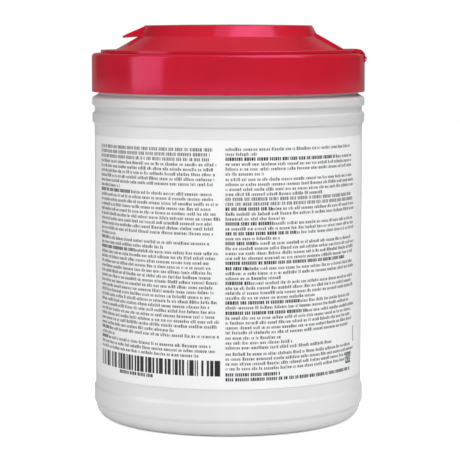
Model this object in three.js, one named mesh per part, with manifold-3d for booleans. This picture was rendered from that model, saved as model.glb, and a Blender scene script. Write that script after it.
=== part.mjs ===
// A canister of disinfecting wipes: a blow-moulded bottle with a coreless roll of wipes inside, and a snap-fit lid
// whose round flip cap covers the dispensing nozzle.
// Millimetres, +Z up, origin on the axis at the foot. The back label faces -Y, the thumb tab points to -X and the
// flip cap's hinge is at +X.
import * as THREE from 'three';
import { mergeVertices } from 'three/addons/utils/BufferGeometryUtils.js';
import Module from 'manifold-3d';

const wasm = await Module();
wasm.setup();

// Canister shell
const WALL_RADIUS = 62.9;
const SHELL_WALL = 1.2;
const FOOT_INSET = 8.5;
const FOOT_RING_WIDTH = 4;
const BASE_RISE = 2.5;
const BASE_RISE_RUN = 3.6;
const BASE_CORNER_HEIGHT = 6.8;
const BASE_CREASE_DEPTH = 0.3;
const BUMPER_HEIGHT = 10;
const BUMPER_PROUD = 0.7;
const LOWER_BAND_HEIGHT = 5.7;
const LOWER_BAND_PROUD = 0.9;
const GROOVE_HEIGHT = 2.3;
const GROOVE_DEPTH = 0.2;
const UPPER_BAND_HEIGHT = 5.8;
const UPPER_BAND_PROUD = 1;
const BAND_EDGE_HEIGHT = 1.2;
const BUMPER_EDGE_HEIGHT = 2.4;
const SHOULDER_ROUNDING = 2;
const NECK_INSET = 2;
const NECK_BEAD_PROUD = 0.35;
const NECK_BEAD_HEIGHT = 1.6;

// Lid
const LID_PROUD = 1.1;
const LID_WALL = 1.4;
const LID_GAP = 1;
const SKIRT_HEIGHT = 18;
const SKIRT_EDGE_RADIUS = 0.4;
const SHOULDER_WIDTH = 1.6;
const SHOULDER_HEIGHT = 2.2;
const UPPER_SKIRT_WALL = 2.1;
const SNAP_BEAD_LIFT = 1.4;
const SNAP_BEAD_HEIGHT = 0.7;
const SNAP_BEAD_SLOPE = 0.7;
const DECK_THICKNESS = 1.4;
const LIP_STOP_DEPTH = 3.5;
const PLUG_SEAL_DEPTH = 3.8;
const PLUG_SEAL_WALL = 0.9;
const PLUG_SEAL_LEAD_IN = 0.6;
const PLUG_SEAL_CLEARANCE = 0.5;
const WELL_INSET = 18;
const WELL_DEPTH = 4.5;
const WELL_SLOPE_RUN = 2.6;
const NOZZLE_FOOT_RADIUS = 18.5;
const NOZZLE_TOP_RADIUS = 13.9;
const NOZZLE_EDGE_RADIUS = 0.8;
const NOZZLE_HEIGHT = 6;
const NOZZLE_WALL = 1;
const ORIFICE_RADIUS = 5;
const SLIT_REACH = 10;
const SLIT_WIDTH = 1.6;
const SLIT_COUNT = 6;

// Flip cap
const CAP_LEDGE_WIDTH = 4.2;
const CAP_WALL = 1.3;
const CAP_PLATE_THICKNESS = 1.15;
const CAP_PLATE_EDGE = 0.4;
const CAP_RIM_WIDTH = 6.8;
const HOOD_SLOPE_RUN = 10.9;
const HOOD_STEP_HEIGHT = 6.2;
const HOOD_TOP_INSET = 2.9;
const HOOD_TOP_HEIGHT = 11.4;
const HOOD_EDGE_RADIUS = 0.7;
const HOOD_CROWN = 0.4;
const CAP_RING_WALL = 1;
const CAP_RING_REACH = 1.8;
const TAB_REACH = 10.6;
const TAB_DROP = 4.5;
const TAB_TIP_THICKNESS = 1.1;
const TAB_ROOT_WIDTH = 17;
const TAB_TIP_WIDTH = 12;
const TAB_CORNER_RADIUS = 2.5;
const STRAP_WIDTH = 20;
const STRAP_THICKNESS = 0.9;
const STRAP_RISE = 0.4;
const STRAP_RIB_RISE = 1.1;
const STRAP_RIB_BEVEL = 0.3;
const STRAP_INSET = 0.2;
const STRAP_BEND_RADIUS = 3.2;
const HINGE_DROP = 2.9;
const HINGE_NUB_PROUD = 0.65;
const HINGE_NUB_HEIGHT = 1.9;
const HINGE_OFFSET = 0.1;

// Wipe roll
const ROLL_HEIGHT = 152.4;
const ROLL_HEADROOM = 9.6;
const ROLL_CORE_RADIUS = 14;
const ROLL_TURN_COUNT = 8;
const ROLL_TURN_DEPTH = 0.7;
const TAIL_PLEAT_DEPTH = 1.3;
const TAIL_PLEAT_COUNT = 6;
const TAIL_ABOVE_NOZZLE = 6;
const TAIL_LEAVES_BELOW_TOP = 60;

// Labels
const LABEL_THICKNESS = 0.15;
const LABEL_HALF_ANGLE = THREE.MathUtils.degToRad(77.5);
const LABEL_ABOVE_BUMPER = 5.9;
const LABEL_BELOW_BAND = 5;
const LABEL_CORNER_RADIUS = 5;

// Clearances
const SEAT_GAP = 0.3;
const LABEL_GAP = 0.1;
const ROLL_CLEARANCE = 0.9;
const TAIL_CLEARANCE = 0.9;
const SNAP_CLEARANCE = 0.35;
const CAP_RING_CLEARANCE = 0.8;
const STRAP_SIDE_CLEARANCE = 0.4;

// How far a cutting solid reaches past the face that it cuts
const CUT_MARGIN = 5;

// Facets round the axis
const SHELL_FACETS = 60;
const ROLL_FACETS = 48;

// Radii that follow the bottle's wall
const footRadius = WALL_RADIUS - FOOT_INSET;
const neckRadius = WALL_RADIUS - NECK_INSET;
const rollRadius = neckRadius - SHELL_WALL - ROLL_CLEARANCE;
const tailRadius = ORIFICE_RADIUS - TAIL_CLEARANCE;
const lidRadius = WALL_RADIUS + LID_PROUD;
const wellRadius = lidRadius - WELL_INSET;
const capRadius = lidRadius - CAP_LEDGE_WIDTH;
const hoodFootRadius = capRadius - CAP_RIM_WIDTH;
const hoodStepRadius = hoodFootRadius - HOOD_SLOPE_RUN;
const hoodTopRadius = hoodStepRadius - HOOD_TOP_INSET;

// Levels worked out from the stack: the roll that stands on the floor sets the lid's level, and that sets the wall's
const floorTop = BASE_RISE + SHELL_WALL;
const rollFoot = floorTop + SEAT_GAP;
const rollTop = rollFoot + ROLL_HEIGHT;
const lidFoot = rollTop + ROLL_HEADROOM + DECK_THICKNESS + WELL_DEPTH - SKIRT_HEIGHT;
const neckTop = lidFoot + SKIRT_HEIGHT - DECK_THICKNESS - LIP_STOP_DEPTH - SEAT_GAP;
const shoulderTop = lidFoot - LID_GAP;
const upperBandFoot = shoulderTop - UPPER_BAND_HEIGHT;
const grooveFoot = upperBandFoot - GROOVE_HEIGHT;
const lowerBandFoot = grooveFoot - LOWER_BAND_HEIGHT;
const bumperTop = BASE_CORNER_HEIGHT + BUMPER_HEIGHT;
const labelFoot = bumperTop + LABEL_ABOVE_BUMPER;
const labelHeight = lowerBandFoot - LABEL_BELOW_BAND - labelFoot;

// Levels in the lid's own frame, whose origin is on the axis at the skirt's lower edge
const wellFloor = SKIRT_HEIGHT - WELL_DEPTH;
const nozzleTop = wellFloor + NOZZLE_HEIGHT;
const capFoot = SKIRT_HEIGHT + SEAT_GAP;
const capPlateTop = capFoot + CAP_PLATE_THICKNESS;
const hoodStep = capPlateTop + HOOD_STEP_HEIGHT;
const hoodTop = capPlateTop + HOOD_TOP_HEIGHT;
const strapTop = capPlateTop + STRAP_RISE;
const hinge = new THREE.Vector3(lidRadius + HINGE_NUB_PROUD + HINGE_OFFSET, 0, SKIRT_HEIGHT - HINGE_DROP);

const point = (x, y) => new THREE.Vector2(x, y);

// Points on a quarter of an ellipse, both ends included, from angle start to angle end in quarter turns.
function quarter(centreX, centreY, radiusX, radiusY, start, end, steps) {
  return Array.from({ length: steps + 1 }, (_, i) => {
    const angle = (Math.PI / 2) * (start + ((end - start) * i) / steps);
    return point(centreX + radiusX * Math.cos(angle), centreY + radiusY * Math.sin(angle));
  });
}

// A closed geometry as a solid: shared vertices merged, triangles that collapsed on the axis dropped.
function solidOf(geometry) {
  const bare = geometry.clone();
  bare.deleteAttribute('normal');
  bare.deleteAttribute('uv');
  const merged = mergeVertices(bare, 1e-4);
  const kept = [];
  for (let i = 0; i < merged.index.count; i += 3) {
    const corners = [merged.index.getX(i), merged.index.getX(i + 1), merged.index.getX(i + 2)];
    if (new Set(corners).size === 3) kept.push(...corners);
  }
  return new wasm.Manifold(
    new wasm.Mesh({
      numProp: 3,
      vertProperties: new Float32Array(merged.attributes.position.array),
      triVerts: new Uint32Array(kept),
    }),
  );
}

// A section revolved about Z, with a facet corner on -Y. The section runs upwards on its outside.
function revolved(section, facets) {
  return solidOf(new THREE.LatheGeometry(section, facets).rotateX(Math.PI / 2));
}

// A section in X and Z, extruded along Y and centred on Y = 0.
function extrudedAlongY(section, width) {
  const geometry = new THREE.ExtrudeGeometry(new THREE.Shape(section), { depth: width, bevelEnabled: false });
  return solidOf(geometry.translate(0, 0, -width / 2).rotateX(Math.PI / 2));
}

// A section in X and Y, extruded along Z from low to high.
function extrudedAlongZ(section, low, high) {
  const geometry = new THREE.ExtrudeGeometry(new THREE.Shape(section), { depth: high - low, bevelEnabled: false });
  return solidOf(geometry.translate(0, 0, low));
}

function meshOf(name, solid, material) {
  const { vertProperties, triVerts } = solid.getMesh();
  const geometry = new THREE.BufferGeometry();
  geometry.setAttribute('position', new THREE.BufferAttribute(new Float32Array(vertProperties), 3));
  geometry.setIndex(new THREE.BufferAttribute(new Uint32Array(triVerts), 1));
  geometry.computeVertexNormals();
  const mesh = new THREE.Mesh(geometry, material);
  mesh.name = name;
  return mesh;
}

// One raised band of the shell: proud of the wall, with rounded edges of the height edge.
function band(foot, top, wallBelow, wallAbove, proud, edge) {
  const radius = WALL_RADIUS + proud;
  return [
    point(wallBelow, foot),
    point(radius - 0.3 * proud, foot + 0.5 * edge),
    point(radius, foot + edge),
    point(radius, top - edge),
    point(radius - 0.3 * proud, top - 0.5 * edge),
    point(wallAbove, top),
  ];
}

// The bottle: pushed-up base, rounded foot, bumper, wall, two bands with a groove, and the neck with its snap bead.
function canisterSolid() {
  const creaseRadius = WALL_RADIUS - BASE_CREASE_DEPTH;
  const footInner = footRadius - FOOT_RING_WIDTH;
  const innerWall = WALL_RADIUS - SHELL_WALL;
  const innerNeck = neckRadius - SHELL_WALL;
  const grooveRadius = WALL_RADIUS - GROOVE_DEPTH;
  const beadFoot = lidFoot + SNAP_BEAD_LIFT + SNAP_BEAD_HEIGHT + NECK_BEAD_HEIGHT / 2;
  const roundingEnd = shoulderTop - SHOULDER_ROUNDING;
  const outer = [
    point(0, BASE_RISE),
    point(footInner - BASE_RISE_RUN, BASE_RISE),
    point(footInner, 0),
    ...quarter(footRadius, BASE_CORNER_HEIGHT, creaseRadius - footRadius, BASE_CORNER_HEIGHT, -1, 0, 5),
    ...band(BASE_CORNER_HEIGHT, bumperTop, creaseRadius, WALL_RADIUS, BUMPER_PROUD, BUMPER_EDGE_HEIGHT).slice(1),
    ...band(lowerBandFoot, grooveFoot, WALL_RADIUS, grooveRadius, LOWER_BAND_PROUD, BAND_EDGE_HEIGHT),
    point(grooveRadius, upperBandFoot),
    point(WALL_RADIUS + 0.7 * UPPER_BAND_PROUD, upperBandFoot + 0.5 * BAND_EDGE_HEIGHT),
    point(WALL_RADIUS + UPPER_BAND_PROUD, upperBandFoot + BAND_EDGE_HEIGHT),
    ...quarter(neckRadius, roundingEnd, WALL_RADIUS + UPPER_BAND_PROUD - neckRadius, SHOULDER_ROUNDING, 0, 1, 4),
    point(neckRadius, beadFoot),
    point(neckRadius + NECK_BEAD_PROUD, beadFoot + 0.3 * NECK_BEAD_HEIGHT),
    point(neckRadius + NECK_BEAD_PROUD, beadFoot + 0.6 * NECK_BEAD_HEIGHT),
    point(neckRadius, beadFoot + NECK_BEAD_HEIGHT),
    point(neckRadius, neckTop),
  ];
  const inner = [
    point(innerNeck, neckTop),
    point(innerNeck, shoulderTop - SHELL_WALL),
    point(innerWall, roundingEnd - SHELL_WALL),
    ...quarter(
      footRadius,
      BASE_CORNER_HEIGHT,
      innerWall - footRadius,
      BASE_CORNER_HEIGHT - SHELL_WALL,
      0,
      -1,
      3,
    ),
    point(footInner, SHELL_WALL),
    point(footInner - BASE_RISE_RUN, floorTop),
    point(0, floorTop),
  ];
  return revolved([...outer, ...inner], SHELL_FACETS);
}

// A label on the -Y side: a film with rounded corners that lies on the wall.
function labelSolid() {
  const filmRadius = WALL_RADIUS + LABEL_GAP;
  const outside = filmRadius + LABEL_THICKNESS;
  const film = revolved(
    [
      point(filmRadius, labelFoot),
      point(outside, labelFoot),
      point(outside, labelFoot + labelHeight),
      point(filmRadius, labelFoot + labelHeight),
      point(filmRadius, labelFoot),
    ],
    SHELL_FACETS,
  );
  const halfLength = filmRadius * LABEL_HALF_ANGLE;
  const cornerX = halfLength - LABEL_CORNER_RADIUS;
  const cornerY = labelHeight / 2 - LABEL_CORNER_RADIUS;
  const flat = [
    ...quarter(cornerX, -cornerY, LABEL_CORNER_RADIUS, LABEL_CORNER_RADIUS, -1, 0, 4),
    ...quarter(cornerX, cornerY, LABEL_CORNER_RADIUS, LABEL_CORNER_RADIUS, 0, 1, 4),
    ...quarter(-cornerX, cornerY, LABEL_CORNER_RADIUS, LABEL_CORNER_RADIUS, 1, 2, 4),
    ...quarter(-cornerX, -cornerY, LABEL_CORNER_RADIUS, LABEL_CORNER_RADIUS, 2, 3, 4),
  ];
  const seenFromFront = flat.map((p) =>
    point(filmRadius * Math.sin(p.x / filmRadius), labelFoot + labelHeight / 2 + p.y),
  );
  const stencil = extrudedAlongY(seenFromFront, 2 * outside).translate([0, -outside, 0]);
  return film.intersect(stencil);
}

// The coreless roll with its wound ends, and the lead wipe gathered into a tail that rises through the nozzle.
function rollSolid() {
  const pitch = (rollRadius - ROLL_CORE_RADIUS) / ROLL_TURN_COUNT;
  const turns = [];
  for (let i = 0; i < ROLL_TURN_COUNT; i++) {
    const outside = rollRadius - i * pitch;
    turns.push(point(outside, rollTop - ROLL_TURN_DEPTH), point(outside - pitch / 2, rollTop));
  }
  const roll = revolved(
    [
      point(ROLL_CORE_RADIUS, rollFoot),
      point(rollRadius, rollFoot),
      ...turns,
      point(ROLL_CORE_RADIUS, rollTop - ROLL_TURN_DEPTH),
      point(ROLL_CORE_RADIUS, rollFoot),
    ],
    ROLL_FACETS,
  );
  const tailTop = lidFoot + nozzleTop + TAIL_ABOVE_NOZZLE;
  const leaves = rollTop - TAIL_LEAVES_BELOW_TOP;
  const route = new THREE.CatmullRomCurve3([
    new THREE.Vector3(-ROLL_CORE_RADIUS - 3, 0, leaves),
    new THREE.Vector3(-0.6 * ROLL_CORE_RADIUS, 0, leaves + 0.25 * TAIL_LEAVES_BELOW_TOP),
    new THREE.Vector3(-0.2 * ROLL_CORE_RADIUS, 0, leaves + 0.55 * TAIL_LEAVES_BELOW_TOP),
    new THREE.Vector3(0, 0, leaves + 0.85 * TAIL_LEAVES_BELOW_TOP),
    new THREE.Vector3(0, 0, (rollTop + tailTop) / 2),
    new THREE.Vector3(0, 0, tailTop),
  ]);
  const pleated = Array.from({ length: 2 * TAIL_PLEAT_COUNT }, (_, i) => {
    const angle = (Math.PI * i) / TAIL_PLEAT_COUNT;
    const radius = tailRadius - (i % 2) * TAIL_PLEAT_DEPTH;
    return point(radius * Math.cos(angle), radius * Math.sin(angle));
  });
  const tail = new THREE.ExtrudeGeometry(new THREE.Shape(pleated), {
    steps: 18,
    bevelEnabled: false,
    extrudePath: route,
  });
  return roll.add(solidOf(tail));
}

// The hinge strap's line over the lid's corner, at a given distance under its outer face, from the top down.
function strapLine(depth) {
  const bend = STRAP_BEND_RADIUS - depth;
  const faceX = lidRadius - STRAP_INSET;
  return quarter(faceX - STRAP_BEND_RADIUS, strapTop - STRAP_BEND_RADIUS, bend, bend, 1, 0, 5);
}

// The lid: skirt, deck with the flip cap's ledge, sunk well, plug seal and the nozzle with its slit orifice.
function lidSolid() {
  const innerSkirt = lidRadius - LID_WALL;
  const innerUpper = lidRadius - UPPER_SKIRT_WALL;
  const beadRadius = neckRadius + NECK_BEAD_PROUD + SNAP_CLEARANCE;
  const beadTop = SNAP_BEAD_LIFT + SNAP_BEAD_HEIGHT;
  const thickening = beadTop + 2 * NECK_BEAD_HEIGHT;
  const deckUnderside = SKIRT_HEIGHT - DECK_THICKNESS;
  const plugOutside = neckRadius - SHELL_WALL - PLUG_SEAL_CLEARANCE;
  const plugInside = plugOutside - PLUG_SEAL_WALL;
  const lipStop = deckUnderside - LIP_STOP_DEPTH;
  const plugFoot = lipStop - PLUG_SEAL_DEPTH;
  const wellUnderside = wellFloor - DECK_THICKNESS;
  const shell = revolved(
    [
      point(lidRadius - SKIRT_EDGE_RADIUS, 0),
      point(lidRadius, SKIRT_EDGE_RADIUS),
      ...quarter(
        lidRadius - SHOULDER_WIDTH,
        SKIRT_HEIGHT - SHOULDER_HEIGHT,
        SHOULDER_WIDTH,
        SHOULDER_HEIGHT,
        0,
        1,
        4,
      ),
      point(wellRadius, SKIRT_HEIGHT),
      point(wellRadius - WELL_SLOPE_RUN, wellFloor),
      point(NOZZLE_FOOT_RADIUS, wellFloor),
      point(NOZZLE_TOP_RADIUS, nozzleTop - NOZZLE_EDGE_RADIUS),
      point(NOZZLE_TOP_RADIUS - NOZZLE_EDGE_RADIUS, nozzleTop),
      point(ORIFICE_RADIUS, nozzleTop),
      point(ORIFICE_RADIUS, nozzleTop - NOZZLE_WALL),
      point(NOZZLE_TOP_RADIUS - NOZZLE_WALL, nozzleTop - NOZZLE_WALL),
      point(NOZZLE_FOOT_RADIUS - NOZZLE_WALL, wellUnderside),
      point(wellRadius - WELL_SLOPE_RUN + 0.6 * DECK_THICKNESS, wellUnderside),
      point(wellRadius + 0.6 * DECK_THICKNESS, deckUnderside),
      point(plugInside, deckUnderside),
      point(plugInside, plugFoot),
      point(plugOutside - PLUG_SEAL_LEAD_IN / 2, plugFoot),
      point(plugOutside, plugFoot + PLUG_SEAL_LEAD_IN),
      point(plugOutside, lipStop),
      point(innerUpper, lipStop),
      point(innerUpper, thickening),
      point(innerSkirt, thickening - SNAP_BEAD_SLOPE),
      point(innerSkirt, beadTop + SNAP_BEAD_SLOPE),
      point(beadRadius, beadTop),
      point(beadRadius, SNAP_BEAD_LIFT),
      point(innerSkirt, SNAP_BEAD_LIFT - SNAP_BEAD_SLOPE),
      point(innerSkirt, 0),
      point(lidRadius - SKIRT_EDGE_RADIUS, 0),
    ],
    SHELL_FACETS,
  );
  const slit = new THREE.BoxGeometry(SLIT_REACH, SLIT_WIDTH, 3 * NOZZLE_WALL);
  const slits = Array.from({ length: SLIT_COUNT }, (_, i) =>
    solidOf(slit.clone().translate(SLIT_REACH / 2, 0, nozzleTop).rotateZ((2 * Math.PI * (i + 0.5)) / SLIT_COUNT)),
  );
  const beyond = lidRadius + CUT_MARGIN;
  const seat = strapLine(STRAP_THICKNESS + SEAT_GAP);
  const strapBed = extrudedAlongY(
    [
      point(beyond, hinge.z),
      point(beyond, strapTop + CUT_MARGIN),
      point(seat[0].x, strapTop + CUT_MARGIN),
      ...seat,
      point(seat[seat.length - 1].x, hinge.z),
    ],
    STRAP_WIDTH + 2 * STRAP_SIDE_CLEARANCE,
  );
  const nubFace = lidRadius + HINGE_NUB_PROUD;
  const nubRoot = lidRadius - 0.85 * LID_WALL;
  const nubTop = hinge.z - SEAT_GAP / 2;
  const nub = extrudedAlongY(
    [
      point(nubRoot, nubTop - HINGE_NUB_HEIGHT),
      point(lidRadius, nubTop - HINGE_NUB_HEIGHT),
      point(nubFace, nubTop - 0.15 * HINGE_NUB_HEIGHT),
      point(nubFace, nubTop),
      point(nubRoot, nubTop),
    ],
    STRAP_WIDTH,
  );
  return slits.reduce((solid, cut) => solid.subtract(cut), shell.subtract(strapBed).add(nub));
}

// The flip cap in the lid's frame: plate, two-step hood, ring round the nozzle, thumb tab and hinge strap.
function flipCapSolid() {
  const innerTop = hoodTop - CAP_WALL;
  const slope = Math.atan2(HOOD_STEP_HEIGHT, HOOD_SLOPE_RUN);
  const coneInset = CAP_WALL / Math.sin(slope);
  const innerStep = hoodStep - CAP_WALL;
  const innerStepRadius = hoodStepRadius - 0.4 * CAP_WALL;
  const innerFootRadius = innerStepRadius + (innerStep - capFoot) / Math.tan(slope);
  const ringFoot = nozzleTop - CAP_RING_REACH;
  const nozzleShare = (CAP_RING_REACH - NOZZLE_EDGE_RADIUS) / (NOZZLE_HEIGHT - NOZZLE_EDGE_RADIUS);
  const nozzleRadius = NOZZLE_TOP_RADIUS + nozzleShare * (NOZZLE_FOOT_RADIUS - NOZZLE_TOP_RADIUS);
  const ringInside = nozzleRadius + CAP_RING_CLEARANCE;
  const ringOutside = ringInside + CAP_RING_WALL;
  const shell = revolved(
    [
      point(capRadius - CAP_PLATE_EDGE, capFoot),
      point(capRadius, capFoot + CAP_PLATE_EDGE),
      point(capRadius, capPlateTop - CAP_PLATE_EDGE),
      point(capRadius - CAP_PLATE_EDGE, capPlateTop),
      point(hoodFootRadius, capPlateTop),
      point(hoodStepRadius, hoodStep),
      ...quarter(
        hoodTopRadius - HOOD_EDGE_RADIUS,
        hoodTop - HOOD_EDGE_RADIUS,
        HOOD_EDGE_RADIUS,
        HOOD_EDGE_RADIUS,
        0,
        1,
        2,
      ),
      point(0.5 * hoodTopRadius, hoodTop + 0.75 * HOOD_CROWN),
      point(0, hoodTop + HOOD_CROWN),
      point(0, innerTop + HOOD_CROWN),
      point(ringInside, innerTop + HOOD_CROWN),
      point(ringInside, ringFoot),
      point(ringOutside, ringFoot),
      point(ringOutside, innerTop + HOOD_CROWN / 2),
      point(hoodTopRadius - 1.5 * CAP_WALL, innerTop),
      point(innerStepRadius, innerStep),
      point(innerFootRadius, capFoot),
      point(capRadius - CAP_PLATE_EDGE, capFoot),
    ],
    SHELL_FACETS,
  );

  const rootInset = 0.85 * CAP_WALL;
  const tabTip = hoodTopRadius + TAB_REACH;
  const tabFoot = hoodStep + SEAT_GAP / 2;
  const tabSide = extrudedAlongY(
    [
      point(rootInset - hoodTopRadius, hoodTop - HOOD_EDGE_RADIUS),
      point(HOOD_EDGE_RADIUS / 2 - hoodTopRadius, hoodTop),
      point(-tabTip, hoodTop - TAB_DROP),
      point(0.2 * TAB_TIP_THICKNESS - tabTip, hoodTop - TAB_DROP - TAB_TIP_THICKNESS),
      point(-hoodStepRadius, tabFoot),
      point(rootInset - hoodStepRadius, tabFoot),
    ].reverse(),
    TAB_ROOT_WIDTH,
  );
  const tipX = TAB_CORNER_RADIUS - tabTip;
  const tipY = TAB_TIP_WIDTH / 2 - TAB_CORNER_RADIUS;
  const tabPlan = extrudedAlongZ(
    [
      point(0, TAB_ROOT_WIDTH / 2),
      point(-hoodTopRadius, TAB_ROOT_WIDTH / 2),
      ...quarter(tipX, tipY, TAB_CORNER_RADIUS, TAB_CORNER_RADIUS, 1, 2, 3),
      ...quarter(tipX, -tipY, TAB_CORNER_RADIUS, TAB_CORNER_RADIUS, 2, 3, 3),
      point(-hoodTopRadius, -TAB_ROOT_WIDTH / 2),
      point(0, -TAB_ROOT_WIDTH / 2),
    ],
    0,
    hoodTop + CUT_MARGIN,
  );

  const outerLine = strapLine(0);
  const innerLine = strapLine(STRAP_THICKNESS).slice(2);
  const strapFoot = hinge.z + SEAT_GAP / 2;
  const nubFace = lidRadius + HINGE_NUB_PROUD;
  const ribRise = STRAP_RIB_RISE / Math.cos(slope);
  const ribFoot = hoodFootRadius + (ribRise - STRAP_RISE) / Math.tan(slope);
  const strapRoot = capFoot + 0.1 * CAP_PLATE_THICKNESS;
  const strap = extrudedAlongY(
    [
      point(hoodStepRadius - STRAP_RIB_BEVEL, hoodStep + ribRise - 1.6 * STRAP_RIB_BEVEL),
      point(hoodStepRadius + STRAP_RIB_BEVEL, hoodStep + ribRise - 0.6 * STRAP_RIB_BEVEL),
      point(ribFoot, strapTop),
      ...outerLine,
      point(nubFace, strapFoot + 0.15 * HINGE_NUB_HEIGHT),
      point(nubFace, strapFoot),
      point(innerLine[innerLine.length - 1].x, strapFoot),
      ...[...innerLine].reverse(),
      point(innerLine[0].x - CAP_PLATE_THICKNESS / 2, strapRoot),
      point(hoodFootRadius - coneInset / 3, strapRoot),
      point(hoodStepRadius - coneInset / 3, hoodStep - STRAP_RIB_BEVEL),
    ].reverse(),
    STRAP_WIDTH,
  );
  return shell.add(tabSide.intersect(tabPlan)).add(strap);
}

const materials = {
  shell: new THREE.MeshStandardMaterial({ color: 0xe4e2e3, roughness: 0.42, metalness: 0 }),
  label: new THREE.MeshStandardMaterial({ color: 0xf6f6f7, roughness: 0.5, metalness: 0 }),
  closure: new THREE.MeshStandardMaterial({ color: 0xc8202f, roughness: 0.25, metalness: 0 }),
  wipe: new THREE.MeshStandardMaterial({ color: 0xf2f4f3, roughness: 0.95, metalness: 0 }),
};

// Everything that stands with the bottle
const bottle = new THREE.Group();
const backLabel = meshOf('back_label', labelSolid(), materials.label);
const frontLabel = meshOf('front_label', labelSolid(), materials.label);
frontLabel.rotation.z = Math.PI;
bottle.add(
  meshOf('canister', canisterSolid(), materials.shell),
  backLabel,
  frontLabel,
  meshOf('wipe_roll', rollSolid(), materials.wipe),
);

// The flip cap turns about the hinge line at the lid's corner
const flap = new THREE.Group();
flap.position.copy(hinge);
flap.add(meshOf('flip_cap', flipCapSolid().translate([-hinge.x, -hinge.y, -hinge.z]), materials.closure));

const closure = new THREE.Group();
closure.position.z = lidFoot;
closure.add(meshOf('lid', lidSolid(), materials.closure), flap);

const wipesCanister = new THREE.Group();
wipesCanister.add(bottle, closure);

export default wipesCanister;
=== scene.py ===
# The disinfecting wipes canister, dressed round its frame: a smooth satin bottle with its two printed labels,
# the wound roll and its lead wipe, the glossy red lid with its nozzle, and the flip cap with its hinge strap.
# Sizes are in millimetres until the mesh is placed. The frame gives the levels and radii that pieces share.
import math
import random

import bpy
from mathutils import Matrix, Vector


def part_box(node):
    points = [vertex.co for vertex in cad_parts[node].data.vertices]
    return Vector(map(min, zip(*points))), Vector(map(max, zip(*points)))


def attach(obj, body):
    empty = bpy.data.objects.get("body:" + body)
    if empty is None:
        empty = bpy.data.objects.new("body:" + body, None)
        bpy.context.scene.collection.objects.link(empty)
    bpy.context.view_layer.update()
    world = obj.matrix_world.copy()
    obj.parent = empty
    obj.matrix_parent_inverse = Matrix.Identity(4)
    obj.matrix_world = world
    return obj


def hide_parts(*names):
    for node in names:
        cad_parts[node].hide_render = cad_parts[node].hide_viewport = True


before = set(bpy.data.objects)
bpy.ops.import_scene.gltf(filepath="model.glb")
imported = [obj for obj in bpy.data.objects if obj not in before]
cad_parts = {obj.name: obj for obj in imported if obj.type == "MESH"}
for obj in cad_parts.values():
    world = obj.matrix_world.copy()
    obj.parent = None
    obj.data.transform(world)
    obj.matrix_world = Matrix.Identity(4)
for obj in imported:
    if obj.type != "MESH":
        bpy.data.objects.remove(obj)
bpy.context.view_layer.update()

MM = 0.001
TURNED_SEGMENTS = 180
ON_AXIS = 1e-6
NOISE_MIDDLE = (0.35, 0.65)

# Sizes that the frame gives
bottle_low, bottle_high = (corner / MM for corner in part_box("canister"))
label_low, label_high = (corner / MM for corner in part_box("back_label"))
lid_low, lid_high = (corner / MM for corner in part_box("lid"))
cap_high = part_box("flip_cap")[1] / MM
roll_low, roll_high = (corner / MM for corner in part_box("wipe_roll"))

# Bottle
LID_FOOT = lid_low.z
LABEL_GAP = 0.1
LABEL_THICKNESS = 0.15
WALL_RADIUS = -label_low.y - LABEL_GAP - LABEL_THICKNESS
SHELL_WALL = 1.2
BASE_RISE = 2.5
FOOT_INNER_RADIUS = 50.4
FOOT_RADIUS = 54.4
BASE_CORNER_HEIGHT = 6.8
BASE_CREASE_DEPTH = 0.3
BUMPER_TOP = 16.8
BUMPER_PROUD = 0.7
BAND_PROUD = 0.9
# Painted shade: the bottle's colour is darkened to this share from just under the bands upward
BAND_PAINTED_SHADE = 0.88
BAND_PAINTED_SHADE_START = LID_FOOT - 15.4
BAND_PAINTED_SHADE_END = LID_FOOT - 13.2
GROOVE_DEPTH = 0.2
NECK_RADIUS = WALL_RADIUS - 2
NECK_TOP = bottle_high.z

# Lid
LID_RADIUS = -lid_low.y
SKIRT_HEIGHT = 18
DECK = LID_FOOT + SKIRT_HEIGHT
DECK_THICKNESS = 1.4
WELL_RADIUS = LID_RADIUS - 18
WELL_FLOOR = DECK - 4.5
NOZZLE_TOP = lid_high.z
NOZZLE_FOOT_RADIUS = 18.5
NOZZLE_RADIUS = 13.9
NOZZLE_WALL = 1
ORIFICE_RADIUS = 5
SLIT_REACH = 10
SLIT_WIDTH = 1.6
SLIT_COUNT = 6

# Flip cap
CAP_FOOT = DECK + 0.1
CAP_RADIUS = LID_RADIUS - 4.2
CAP_PLATE = DECK + 1.45
CAP_WALL = 1.3
HOOD_FOOT_RADIUS = CAP_RADIUS - 6.8
HOOD_STEP_RADIUS = HOOD_FOOT_RADIUS - 10.9
HOOD_STEP = CAP_PLATE + 6.2
HOOD_TOP_RADIUS = HOOD_STEP_RADIUS - 2.9
HOOD_TOP = CAP_PLATE + 11.4
SEAL_RING_RADIUS = 15.44
TAB_REACH = 10.2
TAB_DROP = 4.9
TAB_ROOT_WIDTH = 17
TAB_TIP_WIDTH = 12
TAB_TIP_THICKNESS = 0.95
TAB_ROOT_DEPTH = 5.1

# Hinge strap
STRAP_WIDTH = 20
STRAP_THICKNESS = 0.9
STRAP_TOP = CAP_PLATE + 0.4
STRAP_FACE = LID_RADIUS - 0.2
STRAP_BEND_RADIUS = 3.6
STRAP_RIB_RISE = 0.7
HINGE_HEIGHT = DECK - 2.9
HINGE_NUB_FACE = LID_RADIUS + 0.4
HINGE_NUB_HEIGHT = 1.9
HINGE_NUB_EDGE = 0.3
FILM_GAP = 0.3

# Roll
ROLL_FOOT = roll_low.z
ROLL_RADIUS = NECK_RADIUS - SHELL_WALL - 0.9
ROLL_TOP = ROLL_FOOT + 152.4
ROLL_CORE_RADIUS = 14
ROLL_TURNS = 34
TAIL_TOP = roll_high.z
TAIL_RADIUS = 4.3
PLEAT_SHARE = 0.62
PLEAT_TWIST = math.radians(9)

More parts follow.
